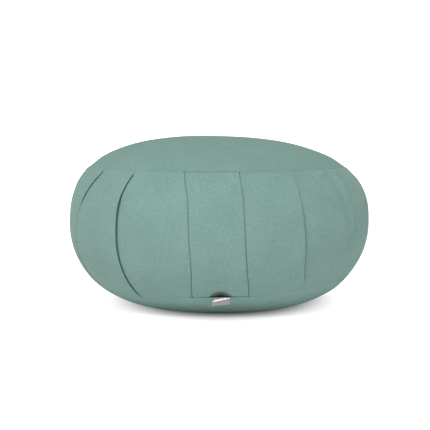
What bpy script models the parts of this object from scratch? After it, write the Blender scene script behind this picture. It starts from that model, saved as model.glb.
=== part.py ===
"""Round pleated meditation cushion, filled, standing on its round underside.

The filled body carries the pleated side band. A round panel lies over the crown, another
under the cushion, a straight panel over the closure at the front, and a small blank tab
hangs from the bottom seam. Metres, +Z up, origin on the floor under the centre.
Azimuth is measured from the front (-Y) and grows towards +X.
"""

from math import atan2, cos, pi, radians, sin, sqrt

import bmesh
import bpy
from mathutils import Vector

OBJECT_NAME = "zafu_cushion"

# Outer form
WAIST_RADIUS = 0.178
WAIST_HEIGHT = 0.1057
CROWN_RISE = 0.1007  # from the waist to the top of the crown
BELLY_DROP = 0.1087  # from the waist to where the underside would reach with no floor
CROWN_POWERS = (2.53, 2.57)  # roundness across, roundness upwards
BELLY_POWERS = (3.12, 2.06)
CROWN_LEAN = 0.037  # share by which the filling stands higher on the left than at the centre
FLOOR_SOFTENING = 0.0015  # height over which the underside turns up from the floor

# Seams
TOP_SEAM_RADIUS = 0.151
TOP_SEAM_SHIFT = -0.002  # the top seam sits this far off centre, towards -X
BOTTOM_SEAM_RADIUS = 0.1365
BOTTOM_SEAM_SHIFT = 0.015  # the bottom seam sits this far off centre, towards +X
SEAM_DIP = 0.0009  # how far cloth rolls in where two pieces are sewn together

# Cloth
PANEL_THICKNESS = 0.002
PIECE_GAP = 0.00045
RIM_GAP = 0.0005

# Pleats: each row is one fold line, with its azimuth at five even steps from the top seam to
# the bottom seam, and the height of the lip that lies over the next section.
PLEAT_COLUMNS = ("top_deg", "upper_deg", "waist_deg", "lower_deg", "foot_deg", "lip_mm")
FRONT_PLEATS = (
    (-59.5, -66.5, -75.4, -77.1, -77.5, 3.0),
    (-39.3, -41.9, -43.2, -43.0, -42.9, 4.0),
    (-15.4, -12.3, -11.3, -11.4, -13.3, 0.0),
    (9.1, 9.5, 10.2, 11.8, 14.4, 0.0),
    (34.0, 33.7, 34.8, 37.0, 42.3, 3.2),
    (59.3, 60.2, 64.5, 67.0, 70.0, 2.8),
)
LINE_COLUMNS = PLEAT_COLUMNS[:-1]
PANEL_LINE = 2  # the front panel runs from this fold line to the next
HIDDEN_PLEATS = 7
HIDDEN_LIP_MM = 3.0
LIP_SHARE_AT_SEAMS = 0.35
SEAM_FADE = 0.3  # share of the way down over which a lip reaches its full height
PANEL_RECESS = 0.0010  # the band lies this much lower under the front panel
SECTION_PUFF = 0.0012  # how far a section swells between its folds
# Places across a section, from its tucked edge to its lip
TUCK_END = 0.35  # the cloth has climbed out from under the lip before it
LIP_START = 0.45
LIP_END = 0.90
PANEL_TUCK_START = 0.80  # where the section left of the front panel goes down under it
PANEL_TUCK_END = 0.98

# Mesh density. The shares are places across one section, from the tucked edge to the lip.
SECTION_SHARES = (0.0, 0.07, 0.24, 0.46, 0.68, 0.86, 0.955, 0.99)
SIDE_ROWS = 16
SEAM_ROW = 0.018  # share of the way down the band from a seam to the row next to it
CROWN_SHARES = (0.975, 0.90, 0.77, 0.60, 0.40, 0.20)
BELLY_SHARES = (0.975, 0.90, 0.79, 0.66, 0.52, 0.26)
DISC_COLUMNS = 52

# Tab
TAB_WIDTH = 0.0205
TAB_DROP = 0.0105
TAB_THICKNESS = 0.0014
TAB_CENTRE = 0.002  # towards +X
TAB_INSET = 0.003  # how far inside the bottom seam the tab comes out
TAB_LIFT = 0.0005  # the middle of its upper edge stands this far off the lower panel
TAB_FLARE = 0.45  # how far its lower end stands out, as a share of the drop
TAB_SLANT = 0.10  # how much it leans to the left
TAB_GRID = (6, 6)  # cells across and down

# Finishes: colour, roughness, metallic
CANVAS_SIDE = (0.235, 0.375, 0.325)
CANVAS_DISC = (0.225, 0.355, 0.310)
TAB_GREY = (0.52, 0.47, 0.47)
CANVAS_ROUGHNESS = 0.92
TAB_ROUGHNESS = 0.6


def clear_scene():
    for thing in list(bpy.data.objects):
        bpy.data.objects.remove(thing, do_unlink=True)


def finish_material(name, colour, roughness):
    material = bpy.data.materials.new(name)
    material.use_nodes = True
    shader = material.node_tree.nodes["Principled BSDF"]
    shader.inputs["Base Color"].default_value = (*colour, 1.0)
    shader.inputs["Roughness"].default_value = roughness
    shader.inputs["Metallic"].default_value = 0.0
    return material


def blend(start, end, share):
    return start + (end - start) * share


def between(start, end, value):
    """0 at or before start, 1 at or past end, and a smooth climb from one to the other."""
    share = min(1.0, max(0.0, (value - start) / (end - start)))
    return share * share * (3.0 - 2.0 * share)


# ---- Outer form -------------------------------------------------------------------


def crown_height(radius, azimuth):
    """Height of the upper surface at this radius."""
    across, upward = CROWN_POWERS
    share = min(1.0, radius / WAIST_RADIUS)
    rise = CROWN_RISE * (1.0 - share**across) ** (1.0 / upward)
    return WAIST_HEIGHT + rise * (1.0 - CROWN_LEAN * share * sin(azimuth))


def belly_height(radius):
    """Height of the under surface at this radius, flat where the floor presses it."""
    across, upward = BELLY_POWERS
    share = min(1.0, radius / WAIST_RADIUS)
    free = WAIST_HEIGHT - BELLY_DROP * (1.0 - share**across) ** (1.0 / upward)
    if free <= -FLOOR_SOFTENING:
        return 0.0
    if free >= FLOOR_SOFTENING:
        return free
    return (free + FLOOR_SOFTENING) ** 2 / (4.0 * FLOOR_SOFTENING)


def top_seam_radius(azimuth):
    return TOP_SEAM_RADIUS + TOP_SEAM_SHIFT * sin(azimuth)


def bottom_seam_radius(azimuth):
    return BOTTOM_SEAM_RADIUS + BOTTOM_SEAM_SHIFT * sin(azimuth)


def seam_turn(radius, powers):
    """Turn along the side at this radius: 0 at the waist, a quarter turn at the axis."""
    cosine = (radius / WAIST_RADIUS) ** (powers[0] / 2.0)
    return atan2(sqrt(1.0 - cosine * cosine), cosine)


def side_radius(turn):
    powers = CROWN_POWERS if turn > 0 else BELLY_POWERS
    return WAIST_RADIUS * cos(turn) ** (2.0 / powers[0])


def side_point(turn, azimuth):
    """Radius and height on the side: turn is positive above the waist."""
    radius = side_radius(turn)
    if turn > 0:
        return radius, crown_height(radius, azimuth)
    return radius, belly_height(radius)


def profile_normal(point_at, along, step):
    """Unit vector square to the profile, turned left of the way in which `along` grows."""
    ahead = (Vector(point_at(along + step)) - Vector(point_at(along - step))).normalized()
    return Vector((-ahead.y, ahead.x))


def set_in(point, normal, depth):
    """The point moved inwards by this depth, as radius and height."""
    return point[0] - normal.x * depth, point[1] - normal.y * depth


def on_side(share, azimuth, depth):
    """Radius and height at a share of the way down the band, this deep under its face."""
    top = seam_turn(top_seam_radius(azimuth), CROWN_POWERS)
    foot = -seam_turn(bottom_seam_radius(azimuth), BELLY_POWERS)
    turn = blend(top, foot, share)
    inwards = profile_normal(lambda along: side_point(along, azimuth), turn, 0.004)
    return set_in(side_point(turn, azimuth), -inwards, depth)


def on_crown(radius, azimuth, depth):
    def point_at(across):
        return across, crown_height(abs(across), azimuth)

    outwards = profile_normal(point_at, radius, 0.0005)
    return set_in(point_at(radius), outwards, depth)


def on_belly(radius, depth):
    def point_at(across):
        return across, belly_height(abs(across))

    inwards = profile_normal(point_at, radius, 0.0005)
    return set_in(point_at(radius), -inwards, depth)


def place(radius, azimuth, height):
    return Vector((radius * sin(azimuth), -radius * cos(azimuth), height))


# ---- Pleats -----------------------------------------------------------------------


def pleat_table():
    """All the fold lines in order round the cushion, the ones at the back evenly spaced."""
    rows = [dict(zip(PLEAT_COLUMNS, row)) for row in FRONT_PLEATS]
    last, first = rows[-1], rows[0]
    for count in range(1, HIDDEN_PLEATS + 1):
        share = count / (HIDDEN_PLEATS + 1)
        line = {"lip_mm": HIDDEN_LIP_MM}
        for key in LINE_COLUMNS:
            line[key] = blend(last[key], first[key] + 360.0, share)
        rows.append(line)
    return rows


PLEATS = pleat_table()
COLUMNS = len(PLEATS) * len(SECTION_SHARES)


def line_azimuth(index, share_down):
    """Azimuth of one fold line at a share of the way down, smooth through its row's places."""
    line = PLEATS[index % len(PLEATS)]
    turns = 2.0 * pi * (index // len(PLEATS))
    places = [radians(line[key]) for key in LINE_COLUMNS]
    last = len(places) - 1
    step = min(int(share_down * last), last - 1)
    share = share_down * last - step
    start, end = places[step], places[step + 1]
    start_slope = (end - places[max(step - 1, 0)]) / 2.0
    end_slope = (places[min(step + 2, last)] - start) / 2.0
    rest = 1.0 - share
    bend = start_slope * share * rest * rest - end_slope * share * share * rest
    return turns + blend(start, end, between(0.0, 1.0, share)) + bend


def section_azimuth(index, across, share_down):
    return blend(line_azimuth(index, share_down), line_azimuth(index + 1, share_down), across)


def fold_relief(index, across, share_down):
    """How far the band stands out here, from the tucked edge of a section to its lip."""
    tucked = 0.5 * PLEATS[index % len(PLEATS)]["lip_mm"] / 1000.0
    lip = 0.5 * PLEATS[(index + 1) % len(PLEATS)]["lip_mm"] / 1000.0
    if index == PANEL_LINE:
        return -PANEL_RECESS
    if index == PANEL_LINE + 1:
        tucked = PANEL_RECESS
    relief = lip * between(LIP_START, LIP_END, across)
    relief -= tucked * (1.0 - between(0.0, TUCK_END, across))
    if index == PANEL_LINE - 1:
        relief -= PANEL_RECESS * between(PANEL_TUCK_START, PANEL_TUCK_END, across)
    return relief + SECTION_PUFF * sin(pi * across) * sin(pi * share_down)


def seam_envelope(share_down):
    """Share of a fold's height that is left near the seams, where the stitching flattens it."""
    from_seam = min(share_down, 1.0 - share_down)
    return blend(LIP_SHARE_AT_SEAMS, 1.0, between(0.0, SEAM_FADE, from_seam))


def row_share(row):
    """Share of the way down the band at one row, with a narrow row next to each seam."""
    if row in (0, SIDE_ROWS):
        return row / SIDE_ROWS
    return blend(SEAM_ROW, 1.0 - SEAM_ROW, (row - 1) / (SIDE_ROWS - 2))


def band_depth(index, across, share_down):
    relief = fold_relief(index, across, share_down) * seam_envelope(share_down)
    from_seam = min(share_down, 1.0 - share_down)
    dip = SEAM_DIP * (1.0 - between(0.0, SEAM_ROW, from_seam))
    return dip - relief


# ---- Meshes -----------------------------------------------------------------------


def ball_mesh(columns, rows, point_at):
    """A closed skin from a ball whose grid points are moved to point_at(column, row).

    Row 0 is the pole at the top and the last row is the pole at the bottom.
    """
    mesh = bmesh.new()
    bmesh.ops.create_uvsphere(mesh, u_segments=columns, v_segments=rows, radius=1.0)
    for point in mesh.verts:
        level = point.co.z
        row = round(atan2(sqrt(max(0.0, 1.0 - level * level)), level) / pi * rows)
        column = round(atan2(point.co.x, -point.co.y) / (2.0 * pi) * columns) % columns
        point.co = point_at(column, row)
    return mesh


def add_object(name, mesh, material, collection):
    data = bpy.data.meshes.new(name)
    mesh.normal_update()
    bmesh.ops.recalc_face_normals(mesh, faces=mesh.faces)
    mesh.to_mesh(data)
    mesh.free()
    data.materials.append(material)
    data.shade_smooth()
    data.set_sharp_from_angle(angle=radians(40.0))
    thing = bpy.data.objects.new(name, data)
    collection.objects.link(thing)
    return thing


def side_band(collection, material):
    """The filled body: crown under the top panel, pleated side, underside over the lower panel."""
    under = PANEL_THICKNESS + PIECE_GAP
    crown_rows = len(CROWN_SHARES) + 1
    side_rows = SIDE_ROWS + 1
    rows = crown_rows + 1 + side_rows + len(BELLY_SHARES) + 1
    sections = len(SECTION_SHARES)

    def point_at(column, row):
        index, across = column // sections, SECTION_SHARES[column % sections]
        if row <= crown_rows:
            azimuth = section_azimuth(index, across, 0.0)
            share = (0.0, *reversed(CROWN_SHARES), 1.0)[row]
            radius, height = on_crown(top_seam_radius(azimuth) * share, azimuth, under)
        elif row <= crown_rows + side_rows:
            down = row_share(row - crown_rows - 1)
            azimuth = section_azimuth(index, across, down)
            radius, height = on_side(down, azimuth, band_depth(index, across, down))
        else:
            azimuth = section_azimuth(index, across, 1.0)
            share = (1.0, *BELLY_SHARES, 0.0)[row - crown_rows - side_rows - 1]
            radius, height = on_belly(bottom_seam_radius(azimuth) * share, under)
        return place(radius, azimuth, height)

    return add_object("side_band", ball_mesh(COLUMNS, rows, point_at), material, collection)


def disc_mesh(shares, rim_radius, surface):
    """A round sheet: its outer face runs from the pole to the rim, its inner face back again."""
    rings = (0.0, *shares, 1.0)
    last = len(rings) - 1

    def point_at(column, row):
        azimuth = 2.0 * pi * column / DISC_COLUMNS
        outer = row <= last
        share = rings[row] if outer else rings[2 * last + 1 - row]
        depth = 0.0 if outer else PANEL_THICKNESS
        if row == last:
            depth = SEAM_DIP
        radius = (rim_radius(azimuth) - RIM_GAP) * share
        radius, height = surface(radius, azimuth, depth)
        return place(radius, azimuth, height)

    return ball_mesh(DISC_COLUMNS, 2 * last + 1, point_at)


def top_panel(collection, material):
    shares = tuple(reversed(CROWN_SHARES))
    mesh = disc_mesh(shares, top_seam_radius, on_crown)
    return add_object("top_panel", mesh, material, collection)


def bottom_panel(collection, material):
    shares = tuple(reversed(BELLY_SHARES))

    def surface(radius, azimuth, depth):
        return on_belly(radius, depth)

    mesh = disc_mesh(shares, bottom_seam_radius, surface)
    return add_object("bottom_panel", mesh, material, collection)


def front_panel(collection, material):
    """A strip over the closure, from seam to seam, its two side edges lying free."""
    shares = (*SECTION_SHARES, 1.0)
    mesh = bmesh.new()
    bmesh.ops.create_grid(mesh, x_segments=len(shares) - 1, y_segments=SIDE_ROWS, size=1.0)
    for point in mesh.verts:
        column = round((point.co.x + 1.0) / 2.0 * (len(shares) - 1))
        down = row_share(round((1.0 - point.co.y) / 2.0 * SIDE_ROWS))
        azimuth = section_azimuth(PANEL_LINE, shares[column], down)
        inner = band_depth(PANEL_LINE, 0.5, down)
        depth = inner - PIECE_GAP - PANEL_THICKNESS
        radius, height = on_side(down, azimuth, depth)
        point.co = place(radius, azimuth, height)
    thing = add_object("front_panel", mesh, material, collection)
    wall = thing.modifiers.new("cloth", "SOLIDIFY")
    wall.thickness = PANEL_THICKNESS
    wall.offset = -1.0
    wall.use_even_offset = True
    return thing


def label_tab(collection, material):
    """A short strip that comes out of the bottom seam along the surface normal and hangs down."""
    mesh = bmesh.new()
    bmesh.ops.create_grid(mesh, x_segments=TAB_GRID[0], y_segments=TAB_GRID[1], size=1.0)
    for point in mesh.verts:
        across = point.co.x / 2.0
        down = (1.0 - point.co.y) / 2.0
        sideways = TAB_CENTRE + TAB_WIDTH * across
        azimuth = sideways / BOTTOM_SEAM_RADIUS
        root = bottom_seam_radius(azimuth) - TAB_INSET
        start = Vector(on_belly(root, -TAB_LIFT))
        outwards = (start - Vector(on_belly(root, 0.0))).normalized()
        flare = TAB_FLARE * outwards.x * (1.0 - (1.0 - down) ** 2)
        height = start.y - TAB_DROP * down * (1.0 - TAB_SLANT * across)
        lean = TAB_SLANT * TAB_DROP * down / BOTTOM_SEAM_RADIUS
        point.co = place(start.x + TAB_DROP * flare, azimuth - lean, height)
    thing = add_object("label_tab", mesh, material, collection)
    wall = thing.modifiers.new("cloth", "SOLIDIFY")
    wall.thickness = TAB_THICKNESS
    wall.offset = 0.0
    return thing


def build():
    clear_scene()
    collection = bpy.data.collections.new(OBJECT_NAME)
    bpy.context.scene.collection.children.link(collection)
    side = finish_material("canvas_side", CANVAS_SIDE, CANVAS_ROUGHNESS)
    disc = finish_material("canvas_disc", CANVAS_DISC, CANVAS_ROUGHNESS)
    side_band(collection, side)
    top_panel(collection, disc)
    bottom_panel(collection, disc)
    front_panel(collection, side)
    label_tab(collection, finish_material("tab", TAB_GREY, TAB_ROUGHNESS))


build()
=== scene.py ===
"""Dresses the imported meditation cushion: canvas skin with its pleats, seams and puckers,
the straight front panel, a blank satin tab, and a plain white studio.

Metres, +Z up, origin on the floor under the cushion's centre. Azimuth is measured from the
front (-Y) and grows towards +X. "Turn" runs up the profile: -90 degrees at the middle of the
underside, 0 at the waist, +90 degrees at the middle of the crown.
"""

from functools import cache
from math import cos, pi, radians, sin
from typing import NamedTuple

import bmesh
import bpy
import numpy as np
from bpy.props import FloatProperty, FloatVectorProperty, PointerProperty
from bpy.types import Operator, Panel, PropertyGroup
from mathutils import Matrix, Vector
from mathutils.bvhtree import BVHTree


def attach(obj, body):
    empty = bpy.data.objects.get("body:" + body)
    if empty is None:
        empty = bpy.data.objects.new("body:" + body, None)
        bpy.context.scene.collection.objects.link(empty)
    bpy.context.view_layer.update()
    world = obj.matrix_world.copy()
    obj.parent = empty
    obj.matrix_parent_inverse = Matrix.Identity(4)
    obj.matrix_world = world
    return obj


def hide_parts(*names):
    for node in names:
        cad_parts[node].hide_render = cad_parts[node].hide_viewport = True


bl_info = {
    "name": "Pleated Floor Cushion",
    "version": (1, 0, 0),
    "blender": (4, 5, 0),
    "location": "3D View > Sidebar > Cushion",
    "description": "Builds the canvas, pleats, panels and tab of a round floor cushion",
    "category": "Add Mesh",
}

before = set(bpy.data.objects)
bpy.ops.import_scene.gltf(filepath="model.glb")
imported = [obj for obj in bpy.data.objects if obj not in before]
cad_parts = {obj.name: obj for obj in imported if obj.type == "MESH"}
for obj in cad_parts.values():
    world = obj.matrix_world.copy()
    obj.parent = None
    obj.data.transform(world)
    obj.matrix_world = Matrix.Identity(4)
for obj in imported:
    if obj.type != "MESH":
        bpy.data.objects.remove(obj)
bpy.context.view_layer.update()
MM = 0.001
TOP, FOOT = True, False  # which of the two seams

# Outer form: that of the solids, with the seams moved to where the photo shows them
WAIST_RADIUS = 0.178
WAIST_HEIGHT = 0.1057
CENTRE = Vector((0.0, 0.0, WAIST_HEIGHT))
CROWN_RISE = 0.1007
BELLY_DROP = 0.1087
CROWN_POWERS = (2.53, 2.57)
BELLY_POWERS = (3.12, 2.06)
CROWN_LEAN = 0.037
FLOOR_SOFTENING = 0.0015
TOP_SEAM_RADIUS = 0.1516
TOP_SEAM_SHIFT = -0.002
BOTTOM_SEAM_RADIUS = 0.1374
BOTTOM_SEAM_SHIFT = (0.0128, 0.0027)
PANEL_SHIFT = (0.3, 12.0, 40.0)  # share of it at the panel, and the azimuths where it grows
BAND_RADIUS = 0.165  # turns widths on the band into angles
MAY_TOUCH = -0.6  # turn below which the cloth may reach the floor

# Strengths, each with the span where it holds: a start, an end and a ramp in degrees of azimuth
SEAM_ROLLS = {  # least radius to which cloth rolls in at a seam and what is added, in mm
    TOP: (0.14, ((0.80, (-15.5, 9.5, 1.2)), (0.14, (12.0, 95.0, 12.0)))),
    FOOT: (0.30, ((0.9, (-13.5, 14.5, 1.5)),)),
}
SEAM_SLOTS = {  # what is added to half the slot there, in metres
    TOP: ((0.00016, (-15.0, 9.0, 1.0)),),
    FOOT: ((0.00045, (-13.5, 13.9, 1.0)),),
}
SLOT_SHARE = 0.15  # share of the roll's radius that half the slot takes everywhere
LEAST_SLOT = 0.00001
GATHERS = ((4.6, (46.0, 57.0, 5.0)), (1.2, (-39.0, -33.0, 3.0)))
PANEL_SPAN = (-13.0, 10.0, 3.0)
PUFF_SPAN = (18.0, 80.0, 8.0)
SINK_SPAN = (-15.0, 14.5, 1.0)

# Cloth, in metres
SHEET = 0.0016  # thickness of the crown, base and front panels
UNDER = 0.0018  # how deep the body lies under them
PANEL_RECESS = 0.0013  # how deep the body lies under the nominal face at the front panel
PANEL_CLEARANCE = 0.00022  # how far the front panel lies off the body under it
PANEL_GROOVE = (0.0001, 0.0017)  # the band dips between these distances from that panel
PANEL_EDGE = 0.0004  # radius of its pressed edges
EDGE_RIDGE = (0.0012, 0.0011, 0.00018)  # the ridge along them: distance, width and height
SEAM_SINK = 0.0022  # how much deeper the body lies in the seams over and under that panel
FOLD_BACK = 0.007  # how far a pleat's cloth runs back under its lip
FOLD_SPREAD = 0.006  # width over which a fold's columns lie where it is sewn flat
BASE_RIM = 0.4  # the base is turned in more sharply at its seam than the band is


class Fold(NamedTuple):
    """One fold line of the band, between two sections."""

    places: tuple  # azimuths in degrees, at even steps from the top seam to the bottom seam
    lips: tuple  # share of the way down, and height of the lip there in mm
    edge: float  # radius of the folded edge in mm; 0 where the cloth isn't folded
    rise: float  # share of the section before it at which the lip starts to rise


# From left to right as the front is faced; the front panel lies between the two flat ones
FLAT = ((0.0, 0.0), (1.0, 0.0))
SHOWN_FOLDS = (
    Fold(
        (-60.5, -66.8, -75.0, -76.7, -77.2),
        (
            (0.0, 0.1), (0.02, 0.2), (0.05, 1.0), (0.15, 1.3), (0.24, 1.1), (0.34, 0.3),
            (0.60, 0.4), (0.8, 0.8), (1.0, 0.3),
        ),
        0.42,
        0.55,
    ),
    Fold(
        (-39.4, -41.9, -43.0, -43.5, -43.9),
        (
            (0.0, 0.1), (0.02, 0.15), (0.05, 1.2), (0.17, 1.5), (0.22, 1.9), (0.28, 3.0),
            (0.45, 2.7), (0.62, 2.1), (0.85, 1.8), (0.96, 1.2), (1.0, 0.3),
        ),
        0.5,
        0.5,
    ),
    Fold((-14.8, -11.9, -11.2, -11.1, -12.8), FLAT, 0.0, 0.45),
    Fold((8.7, 9.2, 9.8, 11.2, 13.9), FLAT, 0.0, 0.45),
    Fold(
        (33.1, 33.0, 34.2, 36.1, 41.0),
        ((0.0, 0.5), (0.03, 2.2), (0.12, 2.8), (0.45, 2.8), (0.85, 3.0), (0.96, 1.6), (1.0, 0.1)),
        0.35,
        0.62,
    ),
    Fold(
        (58.6, 59.2, 63.4, 66.2, 69.2),
        ((0.0, 0.1), (0.03, 0.6), (0.10, 3.2), (0.36, 3.2), (0.55, 1.4), (1.0, 0.3)),
        1.5,
        0.76,
    ),
)
HIDDEN_FOLDS = 7
HIDDEN_LIPS = ((0.0, 0.5), (0.05, 1.4), (0.2, 2.8), (0.5, 3.4), (0.8, 2.8), (1.0, 0.6))
HIDDEN_EDGE = 0.65
HIDDEN_RISE = 0.55
PANEL_SECTION = 2
SOFT_LIP = 0.42  # a folded edge is at most this share of its lip's height
SECTION_BULGE = 0.0011  # how far each section bulges in its middle
LIP_END = 0.96  # share of a section at which the lip has risen in full
TUCK_END = 0.30  # share of a section at which it has come out from under the lip before it

# The cloth is pinched in beside some lips: section, depth and width in metres, and the shares
# of the way down between which the pinch fades in and out
PINCHES = (
    (0, 0.0011, 0.0011, (0.01, 0.05, 0.20, 0.32)),
    (1, 0.0034, 0.0006, (0.02, 0.08, 0.85, 0.99)),
    (4, 0.0024, 0.0016, (-0.01, 0.03, 0.80, 0.99)),
    (4, 0.0013, 0.0034, (0.28, 0.50, 0.82, 1.0)),
)
# A soft ridge and the valley before it: distance from the fold line, width and height
RIDGE_SECTION = 4
RIDGE_AND_VALLEY = ((0.0028, 0.0019, 0.0032), (0.0105, 0.0045, -0.0019))
RIDGE_FADE = (0.0, 0.06, 0.34, 0.60)

# Relief of the cloth
PLUMPNESS = 0.0016  # how far the filled side stands outside the nominal form
MEAN_SWELL = 0.45
SEAM_CALM = 0.02  # the slow unevenness dies down this near a seam
WAVES = (11, 14, 0.05, 0.13)  # seed and count of the slow waves, their least and most length
TOP_PUCKERS = (0.007, 0.0083)  # how far they run from the seam, and from one to the next
FOOT_PUCKERS = (0.008, 0.0094)
GATHER_PUCKERS = (0.014, 0.0105)
GATHER_SLANT = 0.5
SEAM_PUFF = (-0.006, 0.0045)  # the roll's place below the top seam, and its width
FLOOR_CALM = (0.003, 0.03)  # the relief grows between these heights over the floor

# The tab, and the dent that it pulls into the band over the bottom seam. A dent has a half
# width, a rise, a depth and a squareness of its ends, and they lie in one another.
DENT_CENTRE = 0.0013
DENTS = (
    (0.0300, 0.0240, 0.0007, 2.0),
    (0.0140, 0.0110, 0.0046, 2.0),
    (0.0110, 0.0034, 0.0036, 4.0),
)
TAB_CENTRE = 0.0033
TAB_WIDTH = 0.0197
TAB_OPENING = (0.46, 0.0005)  # half its width as a share of the tab's, and half its height
TAB_DROP = 0.0091
TAB_THICKNESS = 0.0009
TAB_CELLS = (44, 40)
TAB_ROOT = (0.0006, -0.0002)  # how far over the seam and how deep in the cloth it starts
TAB_SLANT = -0.235  # how much longer its right side is, as a share of the drop
TAB_CREASE = 0.096  # how far the pressed crease stands out, as a share of the drop
CREASE_LINE = (0.29, -0.385, 0.24)  # its place, slant and width, as shares of the drop
TAB_BOW = 0.0024  # how far the ribbon comes out of the seam before it turns down
TAB_BEND = 0.11  # share of the drop over which it does
TAB_FLARE = 0.04  # how much it leans out on its way down
TAB_TWIST = 0.0010  # how much further its right side stands out
TAB_SPREAD = (0.07, -0.0017)  # how much wider its foot is, and how far that lies to the right

# Mesh density
SECTION_COLUMNS = 64
PANEL_COLUMNS = 12
SIDE_ROWS = 62
CAP_SHARES = (0.0, 0.3, 0.55, 0.75, 0.88, 0.95, 0.985)  # rows under the round panels
FOLD_ARC = (30.0, 60.0, 90.0, 120.0, 150.0, 180.0)  # degrees round the folded edge
FOLD_RUN = (0.4, 0.8)  # shares of the way back under the lip, and out again
FOLD_BEND = (20.0, 90.0, 160.0)  # degrees round the bend at its far end
FOLD_COLUMNS = len(FOLD_ARC) + 2 * len(FOLD_RUN) + len(FOLD_BEND)
ROLL_ARC = (0.0, 30.0, 60.0)  # degrees round a sewn edge, short of its top
DISC_COLUMNS = 600
DISC_RINGS = 40
LINING_SHARES = (1.0, 0.97, 0.9, 0.75, 0.5, 0.25, 0.0)  # rows of a round panel's inner face
STRIP_OUTER = 52
STRIP_INNER = 14


# ---- Small helpers ----------------------------------------------------------------


def blend(start, end, share):
    return start + (end - start) * share


def between(start, end, value):
    """0 at or before start, 1 at or past end, and a smooth climb from one to the other."""
    share = np.clip((value - start) / (end - start), 0.0, 1.0)
    return share * share * (3.0 - 2.0 * share)


def shown_between(fades, value):
    """Fades in between the first two values and out between the last two."""
    start, whole, fading, end = fades
    return between(start, whole, value) * (1.0 - between(fading, end, value))


def hump(distance, middle, width):
    """1 in the middle and 0 well away from it."""
    return np.exp(-(((distance - middle) / width) ** 2))


def smooth_table(pairs, value):
    """A smooth curve through (place, amount) pairs."""
    places, amounts = zip(*pairs)
    value = np.clip(value, places[0], places[-1])
    result = np.full(np.shape(value), float(amounts[0]))
    for start, end, low, high in zip(places, places[1:], amounts, amounts[1:]):
        result = result + (high - low) * between(start, end, value)
    return result


def even_with_fine_ends(count, fineness):
    """Shares from 0 to 1 that lie closer together at both ends."""
    even = np.linspace(0.0, 1.0, count)
    return even - fineness * np.sin(2.0 * pi * even) / (2.0 * pi)


def wrapped(azimuth):
    """The same azimuth between half a turn to the left and half a turn to the right."""
    return (azimuth + pi) % (2.0 * pi) - pi


def span(start, end, ramp, azimuth):
    """1 between two azimuths in degrees and 0 away from them, with soft ramps."""
    return shown_between((start - ramp, start, end, end + ramp), np.degrees(wrapped(azimuth)))


def on_spans(parts, azimuth):
    """The sum of these strengths, each on its own span."""
    return sum(strength * span(*where, azimuth) for strength, where in parts)


def mesh_data(name, mesh):
    data = bpy.data.meshes.new(name)
    mesh.to_mesh(data)
    mesh.free()
    return data


def add_object(name, data):
    made = bpy.data.objects.new(name, data)
    bpy.context.scene.collection.objects.link(made)
    return made


# ---- Outer form -------------------------------------------------------------------


def crown_height(radius, azimuth):
    across, upward = CROWN_POWERS
    share = np.minimum(1.0, radius / WAIST_RADIUS)
    rise = CROWN_RISE * (1.0 - share**across) ** (1.0 / upward)
    return WAIST_HEIGHT + rise * (1.0 - CROWN_LEAN * share * np.sin(azimuth))


def belly_height(radius):
    across, upward = BELLY_POWERS
    share = np.minimum(1.0, radius / WAIST_RADIUS)
    free = WAIST_HEIGHT - BELLY_DROP * (1.0 - share**across) ** (1.0 / upward)
    bent = (free + FLOOR_SOFTENING) ** 2 / (4.0 * FLOOR_SOFTENING)
    flat_or_bent = np.where(free <= -FLOOR_SOFTENING, 0.0, bent)
    return np.where(free >= FLOOR_SOFTENING, free, flat_or_bent)


def profile_point(turn, azimuth):
    """Radius and height on the nominal form."""
    power = np.where(turn > 0.0, CROWN_POWERS[0], BELLY_POWERS[0])
    radius = WAIST_RADIUS * np.clip(np.cos(turn), 0.0, 1.0) ** (2.0 / power)
    height = np.where(turn > 0.0, crown_height(radius, azimuth), belly_height(radius))
    return radius, height


def profile_slope(turn, azimuth):
    """The outward normal, as its radius and height parts, and the metres per radian of turn."""
    step = 0.004
    radius_up, height_up = profile_point(turn + step, azimuth)
    radius_down, height_down = profile_point(turn - step, azimuth)
    across, rise = radius_up - radius_down, height_up - height_down
    length = np.maximum(1e-9, np.hypot(across, rise))
    return rise / length, -across / length, length / (2.0 * step)


def seam_turn(radius, powers):
    return np.arccos((radius / WAIST_RADIUS) ** (powers[0] / 2.0))


def top_seam_turn(azimuth):
    return seam_turn(TOP_SEAM_RADIUS + TOP_SEAM_SHIFT * np.sin(azimuth), CROWN_POWERS)


def bottom_seam_turn(azimuth):
    """The bottom seam climbs to the right and sinks to the left, but hardly under the panel."""
    right = np.sin(azimuth)
    even, uneven = BOTTOM_SEAM_SHIFT
    at_panel, start, end = PANEL_SHIFT
    off_panel = between(radians(start), radians(end), np.abs(wrapped(azimuth)))
    shift = (even + uneven * right) * right * blend(at_panel, 1.0, off_panel)
    return -seam_turn(BOTTOM_SEAM_RADIUS + shift, BELLY_POWERS)


def past_seam(seam, azimuth, distance):
    """Turn of the place this many metres above a seam, or below it where negative."""
    return seam + distance / profile_slope(seam, azimuth)[2]


def seam_roll(azimuth, seam):
    """Radius to which cloth rolls in at a seam: crisp at the front panel, soft elsewhere."""
    least, added = SEAM_ROLLS[seam]
    return MM * (least + on_spans(added, azimuth))


def seam_gap(azimuth, seam):
    """Half the slot between two pieces at a seam, wider where the tab comes out."""
    gap = SLOT_SHARE * seam_roll(azimuth, seam) + LEAST_SLOT
    gap = gap + on_spans(SEAM_SLOTS[seam], azimuth)
    if seam == TOP:
        return gap
    half_width, height = TAB_OPENING
    off_tab = (wrapped(azimuth) * BOTTOM_SEAM_RADIUS - DENT_CENTRE) / (half_width * TAB_WIDTH)
    return gap + height * np.exp(-(off_tab**4))


def rim_radius(azimuth, seam, on_band):
    """Radius of the roll on the band's side of a seam, or on the round panel's side."""
    return seam_roll(azimuth, seam) * (1.0 if on_band or seam == TOP else BASE_RIM)


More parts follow.
